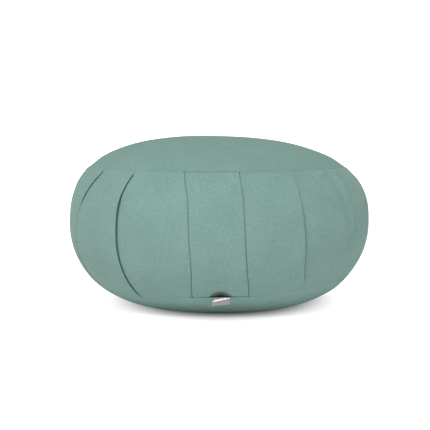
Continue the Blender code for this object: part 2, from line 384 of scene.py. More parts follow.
def rolled_turn(azimuth, seam, on_band, out=1.0):
    """Turn of a place on that roll: in the slot where out is 0, at the roll's end where 1."""
    distance = seam_gap(azimuth, seam) + rim_radius(azimuth, seam, on_band) * out
    place_of = top_seam_turn if seam == TOP else bottom_seam_turn
    upward = on_band != (seam == TOP)
    return past_seam(place_of(azimuth), azimuth, distance if upward else -distance)


# ---- The filling: a cloth simulation ----------------------------------------------

SWELL_GRID = (64, 256)  # steps up the profile and round it
SWELL_START = (97, 192)  # the same for the form that is blown up
SWELL_SHRINK = 0.985  # size of that form before
SWELL_VOXEL = 0.005
SWELL_CAP = 0.006  # most that its skin may move
SWELL_FRAMES = 20
HELD_WIDTH = 0.0045  # the skin is held this near to seams and folds
HELD_HEIGHT = 0.004  # and below this height, where it rests
CLOTH = {
    "quality": 6,
    "mass": 0.3,
    "tension_stiffness": 12.0,
    "compression_stiffness": 12.0,
    "shear_stiffness": 5.0,
    "bending_stiffness": 0.6,
    "air_damping": 2.0,
    "use_pressure": True,
    "uniform_pressure_force": 4.0,
}


def reach(tree, azimuth, rise):
    """How far from the centre the surface lies that way."""
    way = Vector((sin(azimuth) * cos(rise), -cos(azimuth) * cos(rise), sin(rise)))
    hit = tree.ray_cast(CENTRE, way)[0]
    return (hit - CENTRE).length if hit else 0.0


def held_places(points):
    """The points of the start form that the stitching and the folds hold in place."""
    azimuth = np.arctan2(points[:, 0], -points[:, 1])
    rise = np.arctan2(points[:, 2] - WAIST_HEIGHT, np.hypot(points[:, 0], points[:, 1]))
    turn = turn_from_rise(rise)
    top, foot = top_seam_turn(azimuth), bottom_seam_turn(azimuth)
    rate = profile_slope(turn, azimuth)[2]
    held = (np.abs(turn - top) * rate < HELD_WIDTH) | (np.abs(turn - foot) * rate < HELD_WIDTH)
    share = np.clip((top - turn) / (top - foot), 0.0, 1.0)
    on_band = (turn < top) & (turn > foot)
    for index in range(len(FOLDS)):
        off = wrapped(azimuth - line_azimuth(index, share))
        held |= on_band & (np.abs(off) * WAIST_RADIUS < HELD_WIDTH)
    return held | (points[:, 2] < HELD_HEIGHT)


def turn_from_rise(rise):
    """Turn of the place on the nominal form that lies at this angle over the waist's centre."""
    turns = np.linspace(-pi / 2.0, pi / 2.0, 721)
    radius, height = profile_point(turns, 0.0)
    return np.interp(rise, np.arctan2(height - WAIST_HEIGHT, radius), turns)


def mesh_arrays(thing):
    """World points and face corners of the object as the modifiers leave it."""
    evaluated = thing.evaluated_get(bpy.context.evaluated_depsgraph_get())
    mesh = evaluated.to_mesh()
    points = np.empty(len(mesh.vertices) * 3)
    mesh.vertices.foreach_get("co", points)
    faces = [tuple(face.vertices) for face in mesh.polygons]
    evaluated.to_mesh_clear()
    return points.reshape(-1, 3), faces


def start_form():
    """The nominal form, a little shrunk, as an even mesh: its points and faces."""
    steps_up, steps_round = SWELL_START
    turn = np.linspace(pi / 2.0, -pi / 2.0, steps_up)[:, None]
    azimuth = np.linspace(0.0, 2.0 * pi, steps_round, endpoint=False)[None, :] + 0.0 * turn
    mesh = skin_from(rolled_round(place(*profile_point(turn + 0.0 * azimuth, azimuth), azimuth)))
    for point in mesh.verts:
        point.co = CENTRE + (point.co - CENTRE) * SWELL_SHRINK
    form = add_object("filling", mesh_data("filling", mesh))
    remesh = form.modifiers.new("even", "REMESH")
    remesh.mode = "VOXEL"
    remesh.voxel_size = SWELL_VOXEL
    bpy.context.view_layer.update()
    return form, *mesh_arrays(form)


def blow_up():
    """Runs the cloth; returns its skin before and after, as points, and the faces of both."""
    scene = bpy.context.scene
    form, start, faces = start_form()
    data = bpy.data.meshes.new("filling_skin")
    data.from_pydata([tuple(point) for point in start], [], faces)
    skin = add_object("filling_skin", data)
    held = skin.vertex_groups.new(name="held")
    held.add([int(index) for index in np.nonzero(held_places(start))[0]], 1.0, "REPLACE")
    cloth = skin.modifiers.new("cloth", "CLOTH")
    for name, value in CLOTH.items():
        setattr(cloth.settings, name, value)
    cloth.settings.effector_weights.gravity = 0.0
    cloth.settings.vertex_group_mass = held.name
    cloth.collision_settings.use_collision = False
    cloth.point_cache.frame_start = 1
    cloth.point_cache.frame_end = SWELL_FRAMES
    for step in range(1, SWELL_FRAMES + 1):
        scene.frame_set(step)
    end = mesh_arrays(skin)[0]
    scene.frame_set(1)
    moved = end - start
    length = np.linalg.norm(moved, axis=1, keepdims=True)
    end = start + moved * np.minimum(1.0, SWELL_CAP / np.maximum(length, 1e-9))
    for thing in (form, skin):
        mesh_left = thing.data
        bpy.data.objects.remove(thing, do_unlink=True)
        bpy.data.meshes.remove(mesh_left)
    return start, end, faces


def soften(field, times):
    """Evens out a grid that closes round itself along its second axis."""
    for _ in range(times):
        upright = np.vstack([field[:1], field, field[-1:]])
        field = (upright[:-2] + 2.0 * upright[1:-1] + upright[2:]) / 4.0
        field = (np.roll(field, 1, 1) + 2.0 * field + np.roll(field, -1, 1)) / 4.0
    return field


@cache
def swell_field():
    """How far the filling pushes the skin out between its seams and folds, from 0 to 1."""
    steps_up, steps_round = SWELL_GRID
    start, end, faces = blow_up()
    before, after = (
        BVHTree.FromPolygons([Vector(point) for point in points], faces) for points in (start, end)
    )
    field = np.zeros(SWELL_GRID)
    for row in range(steps_up):
        rise = blend(-pi / 2.0, pi / 2.0, (row + 0.5) / steps_up)
        for column in range(steps_round):
            azimuth = 2.0 * pi * column / steps_round
            field[row, column] = reach(after, azimuth, rise) - reach(before, azimuth, rise)
    field = soften(field, 2)
    return field / max(1e-9, np.percentile(field, 98.0))


def swell(turn, azimuth):
    """The simulated swell at these places, read smoothly from its grid."""
    field = swell_field()
    steps_up, steps_round = field.shape
    radius, height = profile_point(turn, azimuth)
    rise = np.arctan2(height - WAIST_HEIGHT, radius)
    up = np.clip((rise / pi + 0.5) * steps_up - 0.5, 0.0, steps_up - 1.001)
    along = (azimuth / (2.0 * pi) % 1.0) * steps_round
    row, column = up.astype(int), along.astype(int) % steps_round
    share_up = between(0.0, 1.0, up - row)
    share_along = between(0.0, 1.0, along - along.astype(int))
    ahead = (column + 1) % steps_round
    low = blend(field[row, column], field[row, ahead], share_along)
    high = blend(field[row + 1, column], field[row + 1, ahead], share_along)
    return blend(low, high, share_up)


# ---- Relief that all the pieces share ---------------------------------------------


def waves(along, across, seed, count, shortest, longest):
    """Soft unevenness between about -1 and 1, made of a few crossing waves."""
    draw = np.random.default_rng(seed)
    total = np.zeros(np.broadcast(along, across).shape)
    for _ in range(count):
        length = draw.uniform(shortest, longest)
        heading, phase = draw.uniform(0.0, 2.0 * pi, 2)
        path = along * cos(heading) + across * sin(heading)
        total += np.sin(2.0 * pi * path / length + phase)
    return total / count**0.5


def puckers(distance, azimuth, radius, strength, length, period):
    """Small gathers that run off square to a seam and die out."""
    along = azimuth * radius
    drift = 0.9 * np.sin(along / 0.031) + 0.6 * np.sin(along / 0.0173 + 1.0)
    ripple = np.sin(2.0 * pi * along / period + drift)
    uneven = 0.55 + 0.45 * np.sin(along / 0.023 + 2.0 * np.sin(along / 0.051))
    return strength * uneven * ripple * np.exp(-np.abs(distance) / length)


def unevenness(turn, azimuth):
    """How far the cloth stands off the nominal form, in metres.

    The crown, the front panel, the seams and the back's middle lie calmer than the rest.
    """
    form = context_form()
    azimuth = wrapped(azimuth)
    radius, height = profile_point(turn, azimuth)
    rate = profile_slope(turn, azimuth)[2]
    from_top = (turn - top_seam_turn(azimuth)) * rate
    from_foot = (turn - bottom_seam_turn(azimuth)) * rate
    panel = span(*PANEL_SPAN, azimuth)

    on_crown = between(0.0, SEAM_CALM, from_top)
    wide = (swell(turn, azimuth) - MEAN_SWELL) * form.swell * (1.0 - 0.85 * on_crown)
    face = waves(radius * np.sin(azimuth), radius * np.cos(azimuth) + height, *WAVES)
    off_top, off_foot = (between(0.0, SEAM_CALM, np.abs(way)) for way in (from_top, from_foot))
    calm = blend(0.35, 1.0, off_top * off_foot)
    wide = wide + form.unevenness * face * calm * (1.0 - 0.6 * on_crown)

    gathers = on_spans(GATHERS, azimuth)
    fine = puckers(from_top, azimuth, TOP_SEAM_RADIUS, form.pucker, *TOP_PUCKERS)
    slant = azimuth + GATHER_SLANT * from_top / TOP_SEAM_RADIUS
    ripple = puckers(from_top, slant, TOP_SEAM_RADIUS, 2.0 * form.pucker, *GATHER_PUCKERS)
    fine = fine * (1.0 - 0.75 * panel) + ripple * gathers * between(0.002, -0.003, from_top)
    low = puckers(from_foot, azimuth, BOTTOM_SEAM_RADIUS, form.pucker, *FOOT_PUCKERS)
    fine = (fine + low * (1.0 - 0.6 * panel)) * between(0.0, 0.05, pi - np.abs(azimuth))

    right = span(*PUFF_SPAN, azimuth)
    puff = form.seam_puff * (0.3 + 0.7 * right) * (1.0 - 0.6 * panel)
    puff = puff * hump(from_top, *SEAM_PUFF)
    plump = PLUMPNESS * (1.0 - 0.75 * between(0.0, 0.06, from_top))
    off_floor = between(*FLOOR_CALM, height)
    return (plump + wide + fine + puff) * np.where(turn > 0.0, 1.0, off_floor)


def dent(turn, azimuth):
    """How far the tab pulls the band in, just over the bottom seam."""
    foot = bottom_seam_turn(azimuth)
    rate = profile_slope(foot, azimuth)[2]
    above = np.maximum(0.0, (turn - foot) * rate)
    sideways = azimuth * BOTTOM_SEAM_RADIUS - DENT_CENTRE
    pulled = 0.0
    for half_width, rise, depth, squareness in DENTS:
        across = np.clip(1.0 - np.abs(sideways / half_width) ** squareness, 0.0, 1.0) ** 1.5
        pulled = pulled + depth * across * hump(above, 0.0, rise)
    return pulled


def place(radius, height, azimuth):
    """A point, or an array of points, from radius, height and azimuth."""
    return np.stack([radius * np.sin(azimuth), -radius * np.cos(azimuth), height], axis=-1)


def cushion_points(turn, azimuth, depth):
    """Points this deep under the cloth's outer face."""
    radius, height = profile_point(turn, azimuth)
    outward, upward, _ = profile_slope(turn, azimuth)
    lift = unevenness(turn, azimuth) - depth
    lifted = np.maximum(height + upward * lift, np.clip(depth, 0.0, None) * 0.999)
    height = np.where(turn < MAY_TOUCH, lifted, height + upward * lift)
    return place(np.maximum(0.0, radius + outward * lift), height, azimuth)


# ---- Fold lines -------------------------------------------------------------------


def all_folds():
    """All the fold lines in order round the cushion, the ones at the back evenly spaced."""
    folds = list(SHOWN_FOLDS)
    for count in range(1, HIDDEN_FOLDS + 1):
        share = count / (HIDDEN_FOLDS + 1)
        ends = zip(SHOWN_FOLDS[-1].places, SHOWN_FOLDS[0].places)
        places = tuple(blend(last, first + 360.0, share) for last, first in ends)
        folds.append(Fold(places, HIDDEN_LIPS, HIDDEN_EDGE, HIDDEN_RISE))
    return folds


FOLDS = all_folds()


def fold(index):
    return FOLDS[index % len(FOLDS)]


def line_azimuth(index, share_down):
    """Azimuth of one fold line at shares of the way down, smooth through its places."""
    turns = 2.0 * pi * (index // len(FOLDS))
    places = np.radians(fold(index).places)
    last = len(places) - 1
    step = np.minimum((share_down * last).astype(int), last - 1)
    share = share_down * last - step
    start, end = places[step], places[step + 1]
    start_slope = (end - places[np.maximum(step - 1, 0)]) / 2.0
    end_slope = (places[np.minimum(step + 2, last)] - start) / 2.0
    rest = 1.0 - share
    bend = start_slope * share * rest * rest - end_slope * share * share * rest
    return turns + blend(start, end, between(0.0, 1.0, share)) + bend


def lip_height(index, share_down):
    return MM * context_form().fold_height * smooth_table(fold(index).lips, share_down)


def fold_edge(index, lip):
    """Radius of a folded edge whose lip is this high."""
    return np.minimum(fold(index).edge * MM, SOFT_LIP * lip)


# ---- Meshes -----------------------------------------------------------------------


def skin_from(grid, cloth_map=None):
    """A closed skin: a sheet of cells rolled round, sewn up at its back and at both poles.

    The grid's first row is the upper pole, its last row the lower one, and its last column
    lies on the first.
    """
    rows, columns = grid.shape[0] - 1, grid.shape[1] - 1
    mesh = bmesh.new()
    bmesh.ops.create_grid(mesh, x_segments=columns, y_segments=rows, size=1.0)
    places = np.array([point.co for point in mesh.verts])
    column = np.rint((places[:, 0] + 1.0) / 2.0 * columns).astype(int)
    row = np.rint((1.0 - places[:, 1]) / 2.0 * rows).astype(int)
    if cloth_map is not None:
        layer = mesh.loops.layers.uv.new("cloth")
        flat = cloth_map[row, column]
        mesh.verts.index_update()
        for face in mesh.faces:
            for corner in face.loops:
                corner[layer].uv = flat[corner.vert.index]
    for point, moved in zip(mesh.verts, grid[row, column]):
        point.co = moved
    border = [point for point in mesh.verts if point.is_boundary]
    bmesh.ops.remove_doubles(mesh, verts=border, dist=1e-6)
    mesh.normal_update()
    return mesh


def rolled_round(grid):
    """The grid with each pole drawn to one point and its first column repeated at the end."""
    grid = np.concatenate([grid, grid[:, :1]], axis=1)
    for pole in (0, -1):
        grid[pole] = grid[pole, :-1].mean(axis=0)
    return grid


def run_lengths(points, axis):
    """Distance travelled along a grid of points from its first row or column."""
    steps = np.linalg.norm(np.diff(points, axis=axis), axis=-1)
    start = np.zeros_like(np.take(steps, [0], axis=axis))
    return np.concatenate([start, np.cumsum(steps, axis=axis)], axis=axis)


def cloth_map_of(grid, middle_column):
    """A flat map in metres: yarn directions follow the grid's columns and rows."""
    middle_row = len(grid) // 2
    flat = np.empty(grid.shape[:2] + (2,))
    flat[..., 0] = run_lengths(grid[middle_row : middle_row + 1], 1)
    flat[..., 1] = run_lengths(grid[:, middle_column : middle_column + 1], 0)
    return flat


def add_piece(name, mesh, material, node):
    data = mesh_data(name, mesh)
    data.materials.append(material)
    data.shade_smooth()
    piece = add_object(name, data)
    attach(piece, "root")
    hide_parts(node)
    return piece


# ---- The filled body --------------------------------------------------------------


class Row(NamedTuple):
    """One row of a grid: functions of azimuth for the turn and the depth under the face."""

    turn: object
    depth: object
    share: float = 0.0  # share of the way down the band
    openness: float = 0.0  # 1 where the folds stand open, 0 where they are sewn flat


def steady(depth):
    return lambda azimuth: depth + 0.0 * azimuth


def turns_and_depths(rows, azimuth):
    """Two grids: the turn and the depth of each row at its azimuths."""
    turn = np.stack([row.turn(places) for row, places in zip(rows, azimuth)])
    return turn, np.stack([row.depth(places) for row, places in zip(rows, azimuth)])


def roll_offsets(degrees):
    """How far out of the slot and how far under the face a place on a roll lies."""
    return 1.0 - cos(radians(degrees)), 1.0 - sin(radians(degrees))


def band_rows():
    """The rows of the body, from the crown's pole to the belly's."""
    rows = []

    def cap(pole, seam_of, down, share):
        def turn(azimuth):
            return blend(pole, seam_of(azimuth), share)

        rows.append(Row(turn, steady(UNDER), down))

    def edge(seam, degrees, openness, deeper):
        """A row on the cloth that rolls into a seam, at this angle round the roll."""
        out, up = roll_offsets(degrees)

        def turn(azimuth):
            return rolled_turn(azimuth, seam, True, out)

        def depth(azimuth):
            sunk = UNDER + SEAM_SINK * span(*SINK_SPAN, azimuth)
            return blend(seam_roll(azimuth, seam) * up, sunk, deeper)

        rows.append(Row(turn, depth, 0.0 if seam == TOP else 1.0, openness))

    def side(share):
        def turn(azimuth):
            top, foot = (rolled_turn(azimuth, seam, True) for seam in (TOP, FOOT))
            return blend(top, foot, share)

        rows.append(Row(turn, steady(0.0), share, 1.0))

    for share in CAP_SHARES:
        cap(pi / 2.0, top_seam_turn, 0.0, share)
    edge(TOP, 0.0, 0.0, 1.0)
    edge(TOP, 0.0, 0.5, 0.5)
    for degrees in ROLL_ARC:
        edge(TOP, degrees, 1.0, 0.0)
    for share in even_with_fine_ends(SIDE_ROWS, 0.55):
        side(float(share))
    for degrees in reversed(ROLL_ARC):
        edge(FOOT, degrees, 1.0, 0.0)
    edge(FOOT, 0.0, 0.5, 0.5)
    edge(FOOT, 0.0, 0.0, 1.0)
    for share in reversed(CAP_SHARES):
        cap(-pi / 2.0, bottom_seam_turn, 1.0, share)
    return rows


def section_relief(index, across, share, width):
    """How far one section of the band stands out between its two fold lines."""
    if index == PANEL_SECTION:
        return -PANEL_RECESS + 0.0 * across * share
    tucked = 0.5 * lip_height(index, share)
    lip = 0.5 * lip_height(index + 1, share)
    rise = fold(index + 1).rise
    relief = lip * between(rise, LIP_END, across) - tucked * (1.0 - between(0.0, TUCK_END, across))
    distance_left, distance_right = across * width, (1.0 - across) * width
    beside_panel = {PANEL_SECTION + 1: distance_left, PANEL_SECTION - 1: distance_right}
    if index in beside_panel:
        relief = relief - PANEL_RECESS * (1.0 - between(*PANEL_GROOVE, beside_panel[index]))
    for section, depth, reach_in, fades in PINCHES:
        if index == section:
            ends = shown_between(fades, share)
            relief = relief - depth * ends * hump(distance_left, 0.0, reach_in)
    if index == RIDGE_SECTION:
        fading = shown_between(RIDGE_FADE, share)
        for middle, reach_in, height in RIDGE_AND_VALLEY:
            relief = relief + height * fading * hump(distance_right, middle, reach_in)
    return relief + SECTION_BULGE * np.sin(pi * across) * np.sin(pi * share)


def section_face(index, azimuth, start, end, share):
    """Relief of a section at these azimuths; its fold lines are at start and end."""
    across = np.clip((azimuth - start) / (end - start), 0.0, 1.0)
    return section_relief(index, across, share, (end - start) * BAND_RADIUS)


def fold_path(lip, edge):
    """The way the cloth takes round a fold, as sideways and outward offsets, side by side."""
    high, low = 0.5 * lip, -0.5 * lip
    slot = np.maximum(lip - 2.0 * edge, 0.0)
    sideways, outward = [], []
    for degrees in FOLD_ARC:
        turned = radians(degrees)
        sideways.append(-edge + edge * sin(turned))
        outward.append(high - edge + edge * cos(turned))
    for share in FOLD_RUN:
        sideways.append(-edge - FOLD_BACK * share)
        outward.append(high - 2.0 * edge)
    for degrees in FOLD_BEND:
        turned = radians(degrees)
        sideways.append(-edge - FOLD_BACK - 0.5 * slot * sin(turned))
        outward.append(low + 0.5 * slot * (1.0 + cos(turned)))
    for share in reversed(FOLD_RUN):
        sideways.append(-(edge + FOLD_BACK) * share)
        outward.append(low)
    return np.stack(sideways, axis=1), np.stack(outward, axis=1)


def body_grid():
    rows = band_rows()
    share = np.array([row.share for row in rows])[:, None]
    openness = np.array([row.openness for row in rows])[:, None]
    fading = np.minimum(1.0, openness * 2.0)
    spread = np.linspace(-FOLD_SPREAD, 0.0, FOLD_COLUMNS + 2)[1:-1][None, :]
    azimuths, reliefs = [], []
    for index in range(len(FOLDS)):
        start, end = line_azimuth(index, share), line_azimuth(index + 1, share)
        flat_end = fold(index + 1).edge == 0.0
        opened = openness * (0.0 if flat_end else 1.0)
        lip = lip_height(index + 1, share)
        edge = fold_edge(index + 1, lip)
        last = end - blend(FOLD_SPREAD, edge, opened) / BAND_RADIUS
        count = PANEL_COLUMNS if index == PANEL_SECTION else SECTION_COLUMNS
        azimuth = blend(start, last, even_with_fine_ends(count, 0.7)[None, :])
        azimuths.append(azimuth)
        reliefs.append(section_face(index, azimuth, start, end, share) * fading)
        sideways, outward = fold_path(lip[:, 0], edge[:, 0])
        azimuth = end + blend(spread, sideways, opened) / BAND_RADIUS
        azimuths.append(azimuth)
        flat = section_face(index, azimuth, start, end, share) * fading
        reliefs.append(flat if flat_end else outward * opened)
    azimuth = np.concatenate(azimuths, axis=1)
    relief = np.concatenate(reliefs, axis=1)
    turn, depth = turns_and_depths(rows, azimuth)
    pulled = dent(turn, wrapped(azimuth)) * np.minimum(1.0, openness + 0.5)
    return cushion_points(turn, azimuth, depth - relief + pulled)


def build_body(material):
    grid = rolled_round(body_grid())
    mesh = skin_from(grid, cloth_map_of(grid, SECTION_COLUMNS // 2 - 2))
    piece = add_piece("cushion_body", mesh, material, "side_band")


# ---- Round panels -----------------------------------------------------------------


def disc_rows(seam):
    """Rows of a round panel, outer face first, then the turned rim and the inner face."""
    pole = pi / 2.0 if seam == TOP else -pi / 2.0
    rows = []

    def ring(share, depth):
        def turn(azimuth):
            return blend(pole, rolled_turn(azimuth, seam, False), share)

        rows.append(Row(turn, steady(depth)))

    def roll(degrees):
        out, up = roll_offsets(degrees)

        def turn(azimuth):
            return rolled_turn(azimuth, seam, False, out)

        rows.append(Row(turn, lambda azimuth: rim_radius(azimuth, seam, False) * up))

    for share in (*(1.0 - np.geomspace(1.0, 0.012, DISC_RINGS)), 1.0):
        ring(float(share), 0.0)
    for degrees in reversed(ROLL_ARC):
        roll(degrees)
    for share in LINING_SHARES:
        ring(share, SHEET)
    return rows


def build_disc(name, node, seam, material):
    rows = disc_rows(seam)
    azimuth = np.linspace(0.0, 2.0 * pi, DISC_COLUMNS, endpoint=False)
    azimuth = azimuth + np.zeros((len(rows), 1))
    turn, depth = turns_and_depths(rows, azimuth)
    grid = rolled_round(cushion_points(turn, azimuth, depth))
    azimuth = np.concatenate([azimuth, azimuth[:, :1]], axis=1)
    travelled = run_lengths(grid, 0)
    flat = np.stack([travelled * np.sin(azimuth), -travelled * np.cos(azimuth)], axis=-1)
    if seam == FOOT:
        grid, flat = grid[::-1], flat[::-1]
    piece = add_piece(name, skin_from(grid, flat), material, node)


# ---- Front panel ------------------------------------------------------------------


def strip_section():
    """Places round the panel's cross-section: share across, sideways and outward offsets."""
    edge = []
    for degrees in (30.0, 60.0, 90.0):
        turned = radians(degrees)
        edge.append((PANEL_EDGE * sin(turned), PANEL_EDGE * (cos(turned) - 1.0)))
    edge.append((PANEL_EDGE, PANEL_EDGE - SHEET))
    places = [(share, 0.0, 0.0) for share in even_with_fine_ends(STRIP_OUTER, 0.6)]
    places += [(1.0, sideways, outward) for sideways, outward in edge]
    places += [(share, 0.0, -SHEET) for share in np.linspace(1.0, 0.0, STRIP_INNER)]
    places += [(0.0, -sideways, outward) for sideways, outward in reversed(edge)]
    return np.array(places)


def strip_grid():
    across, sideways, outward = (column[None, :] for column in strip_section().T)
    rows = [row for row in band_rows() if row.openness == 1.0]
    share = np.array([row.share for row in rows])[:, None]
    start = line_azimuth(PANEL_SECTION, share) + PANEL_EDGE / BAND_RADIUS
    end = line_azimuth(PANEL_SECTION + 1, share) - PANEL_EDGE / BAND_RADIUS
    azimuth = blend(start, end, across) + sideways / BAND_RADIUS
    from_edge = np.minimum(across, 1.0 - across) * ((end - start) * BAND_RADIUS)
    middle, width, height = EDGE_RIDGE
    ridge = height * hump(from_edge, middle, width) * (outward > -1e-6)
    lift = SHEET - PANEL_RECESS + PANEL_CLEARANCE + outward + ridge
    turn, depth = turns_and_depths(rows, azimuth)
    grid = cushion_points(turn, azimuth, depth - lift + dent(turn, azimuth))
    return rolled_round(np.concatenate([grid[:1], grid, grid[-1:]], axis=0))


def build_front_panel(material):
    grid = strip_grid()
    mesh = skin_from(grid, cloth_map_of(grid, STRIP_OUTER // 2))
    piece = add_piece("front_strip", mesh, material, "front_panel")


# ---- Tab --------------------------------------------------------------------------


def build_tab(material):
    """A folded ribbon that comes out of the bottom seam and hangs over the lower panel."""
    mesh = bmesh.new()
    bmesh.ops.create_grid(mesh, x_segments=TAB_CELLS[0], y_segments=TAB_CELLS[1], size=1.0)
    layer = mesh.loops.layers.uv.new("cloth")
    for face in mesh.faces:
        for corner in face.loops:
            point = corner.vert.co
            corner[layer].uv = (point.x * TAB_WIDTH / 2.0, point.y * TAB_DROP / 2.0)
    across = np.array([point.co.x for point in mesh.verts]) / 2.0
    down = (1.0 - np.array([point.co.y for point in mesh.verts])) / 2.0

    azimuth = (TAB_CENTRE + TAB_WIDTH * across) / BOTTOM_SEAM_RADIUS
    above, deep = TAB_ROOT
    root = past_seam(bottom_seam_turn(azimuth), azimuth, above)
    start = cushion_points(root, azimuth, steady(deep)(azimuth))
    drop = TAB_DROP * (1.0 + TAB_SLANT * across)
    at_middle, slant, width = CREASE_LINE
    crease = np.clip((down - (at_middle + slant * across)) / width + 0.5, 0.0, 1.0)
    turning = np.clip(down / TAB_BEND, 0.0, 1.0)
    bow = TAB_BOW * np.sqrt(1.0 - (1.0 - turning) ** 2)
    flare = TAB_FLARE * drop * down + TAB_CREASE * drop * crease + TAB_TWIST * across + bow
    wider, left = TAB_SPREAD
    spread = across * wider * TAB_WIDTH + left
    moved = place(
        np.hypot(start[:, 0], start[:, 1]) + flare,
        start[:, 2] - drop * down,
        azimuth + spread * down / BOTTOM_SEAM_RADIUS,
    )
    for point, target in zip(mesh.verts, moved):
        point.co = target
    mesh.normal_update()
    piece = add_piece("seam_tab", mesh, material, "label_tab")
    wall = piece.modifiers.new("ribbon", "SOLIDIFY")
    wall.thickness = TAB_THICKNESS
    wall.offset = 0.0


# ---- Materials --------------------------------------------------------------------

YARN_HEIGHT = 0.0003
TONE_ENDS = (0.30, 0.86)  # tones at which the cloth is darkest and lightest


class Wiring:
    """Adds nodes to a tree and joins them up."""

    def __init__(self, tree):
        self.tree = tree

    def node(self, kind, inputs=None, **settings):
        """A node with these settings; its inputs are given as values or as other sockets."""
        made = self.tree.nodes.new(kind)
        for key, value in settings.items():
            setattr(made, key, value)
        self.feed(made, inputs or {})
        return made

    def feed(self, node, inputs):
        for key, value in inputs.items():
            if isinstance(value, bpy.types.NodeSocket):
                self.tree.links.new(value, node.inputs[key])
            else:
                node.inputs[key].default_value = value

    def maths(self, operation, *values):
        return self.node("ShaderNodeMath", dict(enumerate(values)), operation=operation).outputs[0]

    def spots(self, vector, scale, detail, roughness=0.5):
        inputs = {"Vector": vector, "Scale": scale, "Detail": detail, "Roughness": roughness}
        return self.node("ShaderNodeTexNoise", inputs).outputs["Fac"]

    def stretched(self, vector, scale):
        made = self.node("ShaderNodeVectorMath", {0: vector, 1: scale}, operation="MULTIPLY")
        return made.outputs["Vector"]

    def climb(self, value, edges, rise):
        """Grows from 0 to this rise between two edges."""
        inputs = {"Value": value, "From Min": edges[0], "From Max": edges[1], "To Max": rise}
        made = self.node("ShaderNodeMapRange", inputs, interpolation_type="SMOOTHSTEP")
        return made.outputs["Result"]

    def ring(self, vector, edges, rise):
        """The same by the distance from the centre."""
        length = self.node("ShaderNodeVectorMath", {0: vector}, operation="LENGTH")
        return self.climb(length.outputs["Value"], edges, rise)


def new_group(name, inputs, outputs):
    """A node group with a vector and these numbers going in; also its wiring and inputs."""
    group = bpy.data.node_groups.new(name, "ShaderNodeTree")
    group.interface.new_socket("Vector", in_out="INPUT", socket_type="NodeSocketVector")
    for socket, value in inputs.items():
        made = group.interface.new_socket(socket, in_out="INPUT", socket_type="NodeSocketFloat")
        made.default_value = value
    for socket in outputs:
        group.interface.new_socket(socket, in_out="OUTPUT", socket_type="NodeSocketFloat")
    wiring = Wiring(group)
    return group, wiring, wiring.node("NodeGroupInput").outputs


def plain_weave(name):
    """Warp and weft going over and under: the height of the cloth and its yarn-to-yarn tone."""
    inputs = {"Yarns per metre": 1500.0, "Slub": 0.5}
    group, wiring, given = new_group(name, inputs, ("Height", "Tone"))
    maths, spots = wiring.maths, wiring.spots
    vector = given["Vector"]
    swayed = maths("MULTIPLY", maths("SUBTRACT", spots(vector, 180.0, 1.0), 0.5), 1.6)
    parts = wiring.node("ShaderNodeSeparateXYZ", {0: vector}).outputs
    sines = []
    for axis in (0, 1):
        counted = maths("MULTIPLY", parts[axis], given["Yarns per metre"])
        sines.append(maths("SINE", maths("MULTIPLY_ADD", counted, pi, swayed)))
    warp, weft, over = (
        maths("MULTIPLY", sines[one], sines[other]) for one, other in ((0, 0), (1, 1), (0, 1))
    )
    warp_up = maths("MULTIPLY", warp, maths("ADD", 1.0, over))
    weft_up = maths("MULTIPLY", weft, maths("SUBTRACT", 1.0, over))
    woven = maths("SMOOTH_MAX", warp_up, weft_up, 0.25)
    thick_warp = spots(wiring.stretched(vector, (900.0, 55.0, 1.0)), 1.0, 1.0)
    thick_weft = spots(wiring.stretched(vector, (55.0, 900.0, 1.0)), 1.0, 1.0)
    slubs = maths("SUBTRACT", maths("ADD", thick_warp, thick_weft), 1.0)
    slubs = maths("MULTIPLY", slubs, given["Slub"])
    height = maths("MULTIPLY_ADD", woven, 0.5, slubs)
    tone = maths("ADD", slubs, maths("MULTIPLY", woven, 0.25))
    wiring.node("NodeGroupOutput", {"Height": height, "Tone": tone})
    return group


def dye_mottle(name):
    """Soft light and dark places where dye and handling have left the cloth uneven."""
    group, wiring, given = new_group(name, {"Size": 1.0}, ("Tone",))
    fine, broad = (
        wiring.spots(given["Vector"], wiring.maths("MULTIPLY", given["Size"], scale), 2.0, rough)
        for scale, rough in ((260.0, 0.6), (26.0, 0.5))
    )
    tone = wiring.maths("MULTIPLY_ADD", fine, 0.62, wiring.maths("MULTIPLY", broad, 0.38))
    wiring.node("NodeGroupOutput", {"Tone": tone})
    return group


def placed_group(wiring, name, maker, inputs):
    """A node with the shared group of this name, which is made the first time it is asked for."""
    made = wiring.node("ShaderNodeGroup")
    made.node_tree = bpy.data.node_groups.get(name) or maker(name)
    wiring.feed(made, inputs)
    return made.outputs


